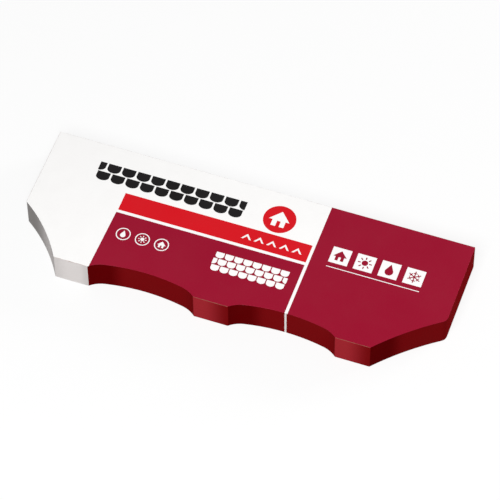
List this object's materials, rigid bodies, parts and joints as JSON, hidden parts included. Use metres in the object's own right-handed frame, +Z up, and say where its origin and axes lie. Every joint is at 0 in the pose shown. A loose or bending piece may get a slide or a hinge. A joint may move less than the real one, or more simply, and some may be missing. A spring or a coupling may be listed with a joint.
{
  "type": "asphalt shingle bundle",
  "caption": "Flat bundle of tabbed asphalt roof shingles, stacked flush and closed in a printed plastic film that follows their scalloped outline.",
  "frame": {"origin": "on the floor under the middle of the bundle", "axes": "+X along the shingles, to the right seen from the tabs; +Y from the tabs to the straight head edge; +Z up through the stack"},
  "size_m": [1.001, 0.336, 0.076],
  "materials": {
    "shingle": "bitumen sheet with mineral granules, matte",
    "film": "printed polyethylene film, satin"
  },
  "bodies": {
    "root": {"shingle_01": "shingle", "shingle_02": "shingle", "shingle_03": "shingle", "shingle_04": "shingle", "shingle_05": "shingle", "shingle_06": "shingle", "shingle_07": "shingle", "shingle_08": "shingle", "shingle_09": "shingle", "shingle_10": "shingle", "shingle_11": "shingle", "shingle_12": "shingle", "shingle_13": "shingle", "shingle_14": "shingle", "film_wrapper": "film"}
  },
  "joints": []
}
